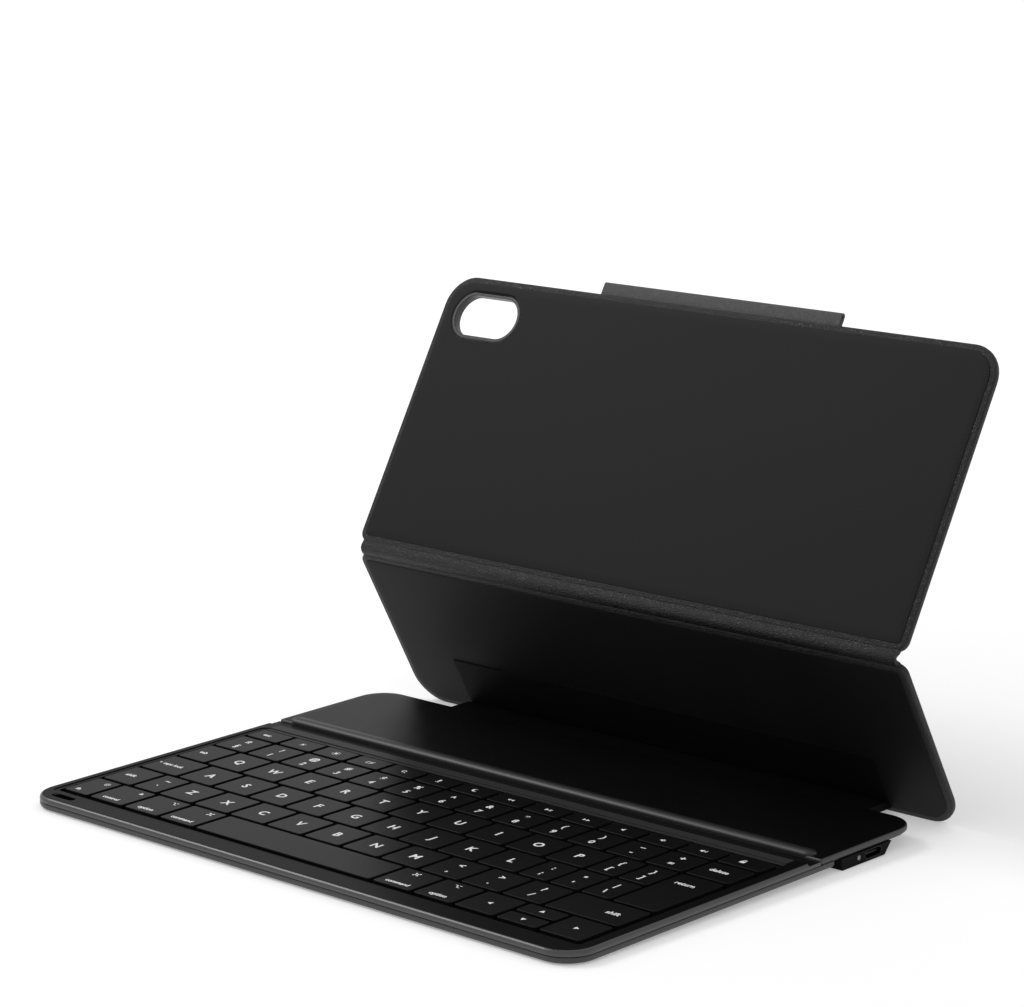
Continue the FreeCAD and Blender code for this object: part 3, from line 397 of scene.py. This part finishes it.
def make_deck():
    lo, hi = node_box("keyboard_outer_cover", DECK)
    shape = (lo[0], hi[0], lo[1], hi[1], (CORNER, CORNER, 0.5, 0.5))
    low, top = lo[2], hi[2]
    profile = [(4.0, low), (1.3, low), (0.75, low + 0.12), (0.3, low + 0.45), (0.08, low + 0.85),
               (0.0, low + 1.3), (0.0, top - 0.5), (0.06, top - 0.2), (0.25, top - 0.03), (0.5, top),
               (0.85, top - 0.02), (1.0, top - 0.2), (1.0, low + 0.5), (4.0, low + 0.5)]
    bm = plate(shape, profile)
    for v in bm.verts:
        if v.co.y > hi[1] - 2 and abs(v.co.x) < hi[0] - 1.05:
            v.co.z = min(v.co.z, low + 1.6)
    # The whole deck cover takes the paler leather; only its sides show, so it is a painted highlight there.
    finish_piece("deck_cover", bm, DECK, "cover_leather", "deck", ["keyboard_outer_cover"], LEATHER_PAINTED_HIGHLIGHT)

    skin_lo, skin_hi = node_box("platform_leather", DECK)
    board_lo, board_hi = node_box("platform_board", DECK)
    ridge_lo, ridge_hi = node_box("screen_ridge", DECK)
    top, side, ledge = skin_hi[2], top + 0.2, board_hi[2]
    shape = (skin_lo[0], skin_hi[0], skin_lo[1], skin_hi[1], (0.8, 0.8, CORNER, CORNER))
    profile = [(3.0, board_lo[2]), (1.1, board_lo[2]), (1.1, side), (0.35, side + 0.02), (0.1, side + 0.12),
               (0.0, side + 0.4), (0.0, top - 0.75), (0.07, top - 0.4), (0.25, top - 0.18), (0.5, top - 0.06),
               (0.9, top), (4.0, top)]
    bm = plate(shape, profile)
    for v in bm.verts:
        if v.co.y < board_lo[1] + 0.9 and v.co.z < side + 0.3:
            v.co.y = max(v.co.y, board_lo[1] + 0.9)
    piece = finish_piece("platform_cover", bm, DECK, "cover_leather", "deck",
                         ["platform_leather", "platform_board"], material=PLATFORM_LEATHER)
    # The platform's sides and rounded edges take the paler leather: a painted highlight.
    piece.data.materials.append(LEATHER_PAINTED_HIGHLIGHT)
    for polygon in piece.data.polygons:
        if polygon.normal.z < 0.95:
            polygon.material_index = 1

    half = (ridge_hi[1] - ridge_lo[1]) / 2
    shape = (ridge_lo[0], ridge_hi[0], ridge_lo[1], ridge_hi[1], (half,) * 4)
    rise = ridge_hi[2] - top + 0.05
    dome = [(half * (1 - math.cos(math.radians(a))), top - 0.05 + rise * math.sin(math.radians(a)))
            for a in range(0, 90, 9)]
    foot = [(half * 0.4, ledge + 0.05), (0.0, ledge + 0.05)]
    finish_piece("tablet_ridge", plate(shape, [*foot, *dome]), DECK,
                 "deck_plastic", "deck", ["screen_ridge"], material=SEAT_RUBBER)


# ---------------------------------------------------------------- panels

def make_panel(name, place, foot_radius, end_radius, body, window=None):
    lo, hi = node_box(f"{body}_leather", place)
    inner = node_box(f"{body}_lining", place)[1][2]
    shape = (lo[0], hi[0], lo[1], hi[1], (foot_radius, foot_radius, end_radius, end_radius))
    low, rim = lo[2], inner - 0.2
    profile = [(5.0, low), (1.5, low), (0.9, low + 0.05), (0.45, low + 0.2), (0.14, low + 0.5),
               (0.0, low + 0.95), (0.0, rim - 0.85), (0.12, rim - 0.4), (0.4, rim - 0.12), (0.8, rim),
               (3.2, rim)]
    lining = [(3.2, rim - 0.05), (2.3, rim - 0.05), (2.3, inner - 0.1), (2.38, inner - 0.03), (2.55, inner),
              (5.6, inner)]
    hole = leather_hole = lining_hole = None
    if window:
        x0, x1, y0, y1 = window
        half = (y1 - y0) / 2 - ROUND_END_FLAT
        hole = (x0, x1, y0, y1, (half,) * 4)
        leather_hole = [(-0.6, low), (-0.1, low), (-0.1, rim), (-0.6, rim)]
        lining_hole = [(-0.6, rim - 0.05), (-0.5, rim - 0.05), (-0.5, inner - 0.1), (-0.6, inner)]
    finish_piece(f"{name}_cover", plate(shape, profile, hole, leather_hole), place, "cover_leather", body,
                 [f"{body}_leather", f"{body}_board"])
    finish_piece(f"{name}_inner_lining", plate(shape, lining, hole, lining_hole), place, "lining_microfibre",
                 body, [f"{body}_lining"])


def make_window_rim():
    lo, hi = node_box("camera_bezel", UPPER)
    rim = 1.4
    half = (hi[1] - lo[1]) / 2 - ROUND_END_FLAT
    profile = [(0.0, lo[2] + 0.3), (0.12, lo[2] + 0.08), (0.4, lo[2]), (rim - 0.5, lo[2]),
               (rim - 0.15, lo[2] + 0.1), (rim, lo[2] + 0.4), (rim, hi[2] - 0.2), (rim - 0.2, hi[2]),
               (0.2, hi[2]), (0.0, hi[2] - 0.2)]
    bm = bmesh.new()
    add_rings(bm, (lo[0], hi[0], lo[1], hi[1], (half,) * 4), profile, closed=True)
    finish_piece("camera_window_rim", bm, UPPER, "rim_plastic", "upper_panel", ["camera_bezel"])
    return lo[0], hi[0], lo[1], hi[1]


FOLD_GAP = 2.9      # how far from the middle fold the leather lies flat on each panel


def between(distance, height):
    """A point of the leather over the middle fold: it follows the lower panel, then the upper one."""
    share = min(1.0, max(0.0, (distance + FOLD_GAP) / (2 * FOLD_GAP)))
    share = share * share * (3 - 2 * share)
    one, other = Vector(yz(LOWER, LOWER_LENGTH + distance, height)), Vector(yz(UPPER, distance, height))
    return tuple(one.lerp(other, share))


def y_in_deck(joint):
    return (DECK.inverted() @ joint_place(joint)).y / MM


def make_folds():
    reach = FOLD_GAP + 0.8
    steps = [reach * (i / 14 - 1) for i in range(29)]
    inner = [between(d, 0.3 - 0.12 * math.cos(math.pi * d / reach) ** 2) for d in steps]
    outer = [between(d, -2.0 + 0.9 * math.cos(math.pi * d / reach / 2) ** 2) for d in reversed(steps)]
    half = node_box("fold_strip", LOWER)[1][0] + 1.5
    band("fold_leather", inner + outer, half, "cover_leather",
         ["fold_strip"])

    lo, hi = node_box("deck_hinge_strip", DECK)
    half = hi[0]
    bar_lo, bar_hi = node_box("spine_bar", DECK)
    axis_y = y_in_deck("deck_to_spine_fold")
    end_y = y_in_deck("spine_to_cover_fold")
    low, top, crown = lo[2], hi[2], bar_hi[2] + 0.12
    middle = (axis_y + end_y) / 2
    upper = [(lo[1], top), (axis_y - 1.5, top), (axis_y, top + 0.02), (axis_y + 1.3, top + 0.15),
             (bar_lo[1] - 0.4, top + 0.6), (bar_lo[1] + 0.3, crown - 0.3), (bar_lo[1] + 1.1, crown),
             (middle, crown)]
    lower = [(middle, low), (axis_y, low), (lo[1], low)]
    front_loop = [yz(DECK, *p) for p in spread(upper) + spread(lower)]
    band("hinge_leather_front", front_loop, half, "cover_leather",
         ["deck_hinge_strip"], HINGE_LEATHER)
    flap_lo, flap_hi = node_box("hinge_flap", LOWER)
    spine_top = spread([(middle, crown), (bar_hi[1] - 1.1, crown), (bar_hi[1] - 0.3, crown - 0.3),
                        (bar_hi[1] + 0.5, top + 0.7), (bar_hi[1] + 1.1, top + 0.45)])
    up = spread([(1.7, flap_hi[2] + 0.25), (3.4, flap_hi[2] + 0.02), (flap_hi[1] - 0.4, flap_hi[2]),
                 (flap_hi[1], flap_hi[2] - 0.12), (flap_hi[1], flap_lo[2] - 0.1), (0.2, flap_lo[2] - 0.3),
                 (-0.4, 0.0)])
    down = spread([(end_y - 0.9, low), (middle, low)])
    rear_loop = [yz(DECK, *p) for p in spine_top] + [yz(LOWER, *p) for p in up] + [yz(DECK, *p) for p in down]
    band("hinge_leather_rear", rear_loop, half, "cover_leather",
         ["spine_strip", "spine_bar", "hinge_flap"], HINGE_LEATHER)


def make_clasp():
    lo, hi = node_box("clasp_flap", CLASP)
    shape = (lo[0], hi[0], lo[1], hi[1], (1.0, 1.0, 5.0, 5.0))
    finish_piece("clasp_cover", plate(shape, edge_profile(lo[2], hi[2], 0.6)), CLASP, "clasp_leather",
                 "clasp", ["clasp_flap"])
    strip_lo, strip_hi = node_box("clasp_strip", UPPER)
    axis = UPPER.inverted() @ joint_place("clasp_fold") / MM
    level = (strip_lo[2] + strip_hi[2]) / 2
    flap_level = axis.z - (lo[2] + hi[2]) / 2
    half_turn = (level - flap_level) / 2
    centre_z = (level + flap_level) / 2
    line = spread([(strip_lo[1] - 1.5, level), (axis.y - 0.2, level)], 0.6)
    line += [(axis.y - 0.2 + half_turn * math.sin(math.radians(a)),
              centre_z + half_turn * math.cos(math.radians(a))) for a in range(15, 180, 15)]
    line += spread([(axis.y - 0.2, flap_level), (axis.y - 2.0, flap_level)], 0.6)
    thick = 0.35
    left, right = [], []
    for i, (y, z) in enumerate(line):
        before, after = line[max(i - 1, 0)], line[min(i + 1, len(line) - 1)]
        dy, dz = after[0] - before[0], after[1] - before[1]
        size = math.hypot(dy, dz)
        left.append(yz(UPPER, y - dz / size * thick, z + dy / size * thick))
        right.append(yz(UPPER, y + dz / size * thick, z - dy / size * thick))
    band("clasp_hinge_leather", left + right[::-1], strip_hi[0], "clasp_leather",
         ["clasp_strip"])


# ---------------------------------------------------------------- key legends

def prism(bm, points, z):
    """A thin flat print of a closed outline."""
    low = [bm.verts.new((x, y, z - 0.01)) for x, y in points]
    high = [bm.verts.new((x, y, z + 0.02)) for x, y in points]
    bm.faces.new(low)
    bm.faces.new(high)
    for i in range(len(points)):
        j = (i + 1) % len(points)
        bm.faces.new((low[i], low[j], high[j], high[i]))


CAPITAL_SHARE = 0.69    # a capital's height as a share of the font's size
LOW_SIGNS = "-=+~'\"^_;:*"


def print_text(bm, text, x, y, z, height, bold=0.0):
    """Adds a word or a sign, centred on x and y, whose capitals are height tall."""
    curve = bpy.data.curves.new("legend_text", "FONT")
    curve.body = text
    curve.size = height / CAPITAL_SHARE
    curve.extrude = 0.015
    curve.offset = bold
    curve.resolution_u = 3
    holder = bpy.data.objects.new("legend_text", curve)
    mesh = bpy.data.meshes.new_from_object(holder)
    if len(mesh.vertices):
        xs = [v.co.x for v in mesh.vertices]
        ys = [v.co.y for v in mesh.vertices]
        tall = max(ys) - min(ys)
        centred = tall < height * 0.75 and text in LOW_SIGNS
        middle_y = (max(ys) + min(ys)) / 2 if centred else height / 2
        mesh.transform(Matrix.Translation((x - (max(xs) + min(xs)) / 2, y - middle_y, z + 0.005)))
        bm.from_mesh(mesh)
    bpy.data.objects.remove(holder)
    bpy.data.curves.remove(curve)
    bpy.data.meshes.remove(mesh)


def around(x, y, radius, angles):
    """A point on a circle at each angle in degrees."""
    return [(x + radius * math.cos(math.radians(a)), y + radius * math.sin(math.radians(a)))
            for a in angles]


def circle(x, y, radius, count=16):
    return around(x, y, radius, [360 * i / count for i in range(count)])


def bar_shape(x, y, width, height):
    return [(x - width / 2, y - height / 2), (x + width / 2, y - height / 2),
            (x + width / 2, y + height / 2), (x - width / 2, y + height / 2)]


def wedge(x, y, size, turn):
    return around(x, y, size, (turn, turn + 120, turn + 240))


def hollow(x, y, width, height, line):
    """Four bars that make the outline of a rectangle."""
    up, out = (height - line) / 2, (width - line) / 2
    return [bar_shape(x, y + up, width, line), bar_shape(x, y - up, width, line),
            bar_shape(x - out, y, line, height - 2 * line), bar_shape(x + out, y, line, height - 2 * line)]


def dots(x, y, radius, step, size):
    """Small dots round a circle."""
    return [circle(dot_x, dot_y, size, 8) for dot_x, dot_y in around(x, y, radius, range(0, 360, step))]


def icon(kind, x, y):
    """The outlines of a small generic sign, about 3 mm across."""
    if kind == "sun_low":
        return [circle(x, y, 0.6), *dots(x, y, 1.15, 45, 0.17)]
    if kind == "sun_high":
        return [circle(x, y, 0.8), *dots(x, y, 1.5, 45, 0.24)]
    if kind == "windows":
        return hollow(x - 0.3, y - 0.2, 2.2, 1.8, 0.28) + [bar_shape(x + 1.3, y + 0.2, 0.35, 2.2)]
    if kind == "search":
        handle = [(x + 0.25, y - 0.1), (x + 1.3, y - 1.1), (x + 1.05, y - 1.35), (x, y - 0.35)]
        return dots(x - 0.3, y + 0.3, 0.8, 24, 0.2) + [handle]
    if kind == "voice":
        return [bar_shape(x, y + 0.4, 0.9, 1.6), bar_shape(x, y - 0.8, 0.3, 0.7),
                bar_shape(x, y - 1.25, 1.5, 0.28)]
    if kind == "moon":
        return [around(x, y, 1.2, range(60, 331, 15)) + around(x + 0.55, y + 0.3, 0.95, range(300, 89, -15))]
    if kind in ("back", "forward"):
        turn = 180 if kind == "back" else 0
        return [wedge(x - 0.75, y, 0.9, turn), wedge(x + 0.75, y, 0.9, turn)]
    if kind == "play":
        return [wedge(x - 0.7, y, 1.0, 0), bar_shape(x + 0.7, y, 0.3, 1.6), bar_shape(x + 1.3, y, 0.3, 1.6)]
    if kind.startswith("speaker"):
        horn = [(x - 1.3, y - 0.4), (x - 0.7, y - 0.4), (x, y - 1.1), (x, y + 1.1), (x - 0.7, y + 0.4),
                (x - 1.3, y + 0.4)]
        waves = {"speaker": 0, "speaker_low": 1, "speaker_high": 2}[kind]
        return [horn] + [bar_shape(x + 0.55 + 0.65 * i, y, 0.28, 1.0 + 0.7 * i) for i in range(waves)]
    if kind == "lock":
        return [bar_shape(x, y - 0.5, 2.0, 1.5), bar_shape(x - 0.6, y + 0.7, 0.3, 0.9),
                bar_shape(x + 0.6, y + 0.7, 0.3, 0.9), bar_shape(x, y + 1.15, 1.5, 0.3)]
    if kind in ("left", "up", "down", "right"):
        return [wedge(x, y, 1.15, {"left": 180, "up": 90, "down": 270, "right": 0}[kind])]
    if kind == "loops":
        return (hollow(x, y, 1.3, 1.3, 0.28)
                + [circle(x + 0.85 * i, y + 0.85 * j, 0.36, 10) for i in (-1, 1) for j in (-1, 1)])
    if kind == "branch":
        slope = [(x - 0.6, y + 0.75), (x - 0.3, y + 0.9), (x + 0.45, y - 0.75), (x + 0.15, y - 0.9)]
        return [bar_shape(x - 0.9, y + 0.8, 0.9, 0.3), bar_shape(x + 0.8, y + 0.8, 1.1, 0.3),
                bar_shape(x + 0.75, y - 0.8, 1.2, 0.3), slope]
    if kind == "globe":
        return dots(x, y, 1.05, 20, 0.15) + [bar_shape(x, y, 0.2, 2.0), bar_shape(x, y, 2.0, 0.2)]
    return [circle(x, y, 0.45)]


KEY_GAP = 1.6       # between neighbouring keys of a row


def row_places(node, weights):
    """The middle of each key of a row whose widths are in the given proportions."""
    lo, hi = node_box(node, DECK)
    scale = (hi[0] - lo[0] + KEY_GAP) / sum(weights)
    x, places = lo[0] - KEY_GAP / 2, []
    for weight in weights:
        places.append((x + weight * scale / 2, (lo[1] + hi[1]) / 2))
        x += weight * scale
    return places


WIDE, SLIM = 17.75, 13.3    # the pitches of the letter keys and of the narrow ones
ROW_LEGENDS = {
    "number_row_keys": ([1.0] * 13, ["±§", "!1", "@2", "#3", "$4", "%5", "^6", "&7", "*8", "(9", ")0",
                                     "_-", "+="]),
    "top_row_keys": ([WIDE] * 10 + [SLIM] * 2, [*"QWERTYUIOP", "{[", "}]"]),
    "home_row_keys": ([WIDE] * 9 + [SLIM] * 3, [*"ASDFGHJKL", ":;", "\"'", "|\\"]),
    "bottom_row_keys": ([SLIM] + [WIDE] * 10, ["~`", *"ZXCVBNM", "<,", ">.", "?/"]),
}
FUNCTION_ICONS = ["sun_low", "sun_high", "windows", "search", "voice", "moon", "back", "play", "forward",
                  "speaker", "speaker_low", "speaker_high"]
WORDS = {   # node: (word, its share of the way across, its height above the key's front, letter height)
    "key_escape": ("esc", 0.42, 0.5, 1.9),
    "key_tab": ("tab", 0.36, 0.5, 1.9),
    "key_caps_lock": ("caps lock", 0.46, 0.5, 1.75),
    "key_shift_left": ("shift", 0.42, 0.5, 1.9),
    "key_fn": ("fn", 0.34, 0.2, 1.9),
    "key_control": ("control", 0.46, 0.2, 1.75),
    "key_option_left": ("option", 0.46, 0.2, 1.9),
    "key_command_left": ("command", 0.48, 0.2, 1.75),
    "key_command_right": ("command", 0.5, 0.2, 1.75),
    "key_option_right": ("option", 0.5, 0.2, 1.9),
    "key_shift_right": ("shift", 0.72, 0.5, 2.2),
    "key_return": ("return", 0.45, 0.77, 2.1),
    "key_delete": ("delete", 0.45, 0.55, 2.1),
}
SIGNS = {   # node: (icon, share across, share of the depth)
    "key_lock": ("lock", 0.42, 0.5), "key_fn": ("globe", 0.7, 0.78), "key_control": ("up", 0.75, 0.8),
    "key_option_left": ("branch", 0.7, 0.8), "key_command_left": ("loops", 0.7, 0.8),
    "key_command_right": ("loops", 0.45, 0.8), "key_option_right": ("branch", 0.45, 0.8),
    "key_arrow_left": ("left", 0.5, 0.5), "key_arrow_up": ("up", 0.5, 0.5),
    "key_arrow_down": ("down", 0.5, 0.5), "key_arrow_right": ("right", 0.5, 0.5),
    "key_caps_lock": ("dot", 0.1, 0.5),
}


def key_legends(bm, node):
    """Adds all the prints of one key node, in the deck's frame."""
    lo, hi = node_box(node, DECK)
    width, depth, z = hi[0] - lo[0], hi[1] - lo[1], hi[2]
    if node in ROW_LEGENDS:
        weights, legends = ROW_LEGENDS[node]
        for (x, y), legend in zip(row_places(node, weights), legends):
            if len(legend) == 1:
                print_text(bm, legend, x, y, z, 3.4, 0.14)
            else:
                print_text(bm, legend[0], x, y + 2.9, z, 2.7, 0.12)
                print_text(bm, legend[1], x, y - 3.0, z, 2.7, 0.12)
    elif node == "function_row_keys":
        for (x, y), kind in zip(row_places(node, [1.0] * len(FUNCTION_ICONS)), FUNCTION_ICONS):
            for shape in icon(kind, x, y):
                prism(bm, shape, z)
    if node in WORDS:
        word, across, along, height = WORDS[node]
        print_text(bm, word, lo[0] + across * width, lo[1] + along * depth, z, height, 0.08)
    if node in SIGNS:
        kind, across, along = SIGNS[node]
        for shape in icon(kind, lo[0] + across * width, lo[1] + along * depth):
            prism(bm, shape, z)


def make_legends():
    for node in sorted(n for n in NODES if f"{n}_body" in frame["bodies"]):
        bm = bmesh.new()
        key_legends(bm, node)
        if len(bm.verts):
            finish_piece(f"legend_{node}", bm, DECK, "keycap_plastic", f"{node}_body",
                         material=LEGEND_INK, soft=False)
        else:
            bm.free()


# ---------------------------------------------------------------- stage, light and camera

FLOOR_REACH = 12.0      # metres from the middle to each side
FLOOR_GLOW = {"From Min": 0.4, "From Max": 2.0, "To Min": 0.28, "To Max": 0.46}     # by metres away


def make_stage():
    mesh = bpy.data.meshes.new("floor")
    corners = [(-1, -1), (1, -1), (1, 1), (-1, 1)]
    mesh.from_pydata([(x * FLOOR_REACH, y * FLOOR_REACH, 0) for x, y in corners], [], [(0, 1, 2, 3)])
    floor = bpy.data.objects.new("floor", mesh)
    material, tree, links = new_material("floor_white")
    shader = tree["Principled BSDF"]
    shader.inputs["Base Color"].default_value = (0.85, 0.85, 0.85, 1)
    shader.inputs["Roughness"].default_value = 0.9
    shader.inputs["Specular IOR Level"].default_value = 0.1
    shader.inputs["Emission Color"].default_value = (1, 1, 1, 1)
    place = tree.new("ShaderNodeTexCoord")
    distance = tree.new("ShaderNodeVectorMath")
    distance.operation = "LENGTH"
    links.new(place.outputs["Object"], distance.inputs[0])
    glow = tree.new("ShaderNodeMapRange")
    for socket, value in FLOOR_GLOW.items():
        glow.inputs[socket].default_value = value
    links.new(distance.outputs["Value"], glow.inputs["Value"])
    links.new(glow.outputs["Result"], shader.inputs["Emission Strength"])
    mesh.materials.append(material)
    bpy.context.scene.collection.objects.link(floor)
    world = bpy.data.worlds.new("studio")
    world.use_nodes = True
    world.node_tree.nodes["Background"].inputs["Color"].default_value = (1, 1, 1, 1)
    world.node_tree.nodes["Background"].inputs["Strength"].default_value = 0.7
    bpy.context.scene.world = world


def add_light(name, place, aim, size, power):
    data = bpy.data.lights.new(name, "AREA")
    data.shape = "RECTANGLE"
    data.size, data.size_y = size
    data.energy = power
    lamp = bpy.data.objects.new(name, data)
    lamp.location = place
    lamp.rotation_euler = (Vector(aim) - Vector(place)).to_track_quat("-Z", "Y").to_euler()
    bpy.context.scene.collection.objects.link(lamp)


def make_lights():
    add_light("left_softbox", (-1.27, -0.38, 1.35), (0, 0, 0), (1.0, 0.55), 10.5)


CAMERA_TURNS = (43.28, 12.65, -0.88)        # azimuth, elevation and roll, in degrees
CAMERA_DISTANCE = 1.1649                    # metres from what it aims at, a place in the deck's frame
CAMERA_AIM = (0.0237, 0, 0.1144)
LENS, SENSOR = 126.738, 36                  # millimetres


def make_camera():
    azimuth, elevation, roll = (math.radians(turn) for turn in CAMERA_TURNS)
    back = Vector((math.sin(azimuth) * math.cos(elevation), -math.cos(azimuth) * math.cos(elevation),
                   math.sin(elevation)))
    right = (-back).cross(Vector((0, 0, 1))).normalized()
    up = right.cross(-back)
    side = math.cos(roll) * right + math.sin(roll) * up
    top = -math.sin(roll) * right + math.cos(roll) * up
    turn = Matrix((side, top, back)).transposed().to_4x4()
    data = bpy.data.cameras.new("camera")
    data.lens, data.sensor_width, data.sensor_fit = LENS, SENSOR, "AUTO"
    data.clip_start, data.clip_end = 0.05, 60
    camera = bpy.data.objects.new("camera", data)
    camera.matrix_world = DECK @ Matrix.Translation(Vector(CAMERA_AIM) + back * CAMERA_DISTANCE) @ turn
    bpy.context.scene.collection.objects.link(camera)
    bpy.context.scene.camera = camera


paint_frame_edge()
make_deck()
window = make_window_rim()
make_panel("lower_panel", LOWER, 12.0, 4.0, "lower_panel")
make_panel("upper_panel", UPPER, 4.0, 12.0, "upper_panel", window)
make_folds()
make_clasp()
make_legends()
make_stage()
make_lights()
make_camera()
bpy.context.scene.view_settings.view_transform = "Standard"
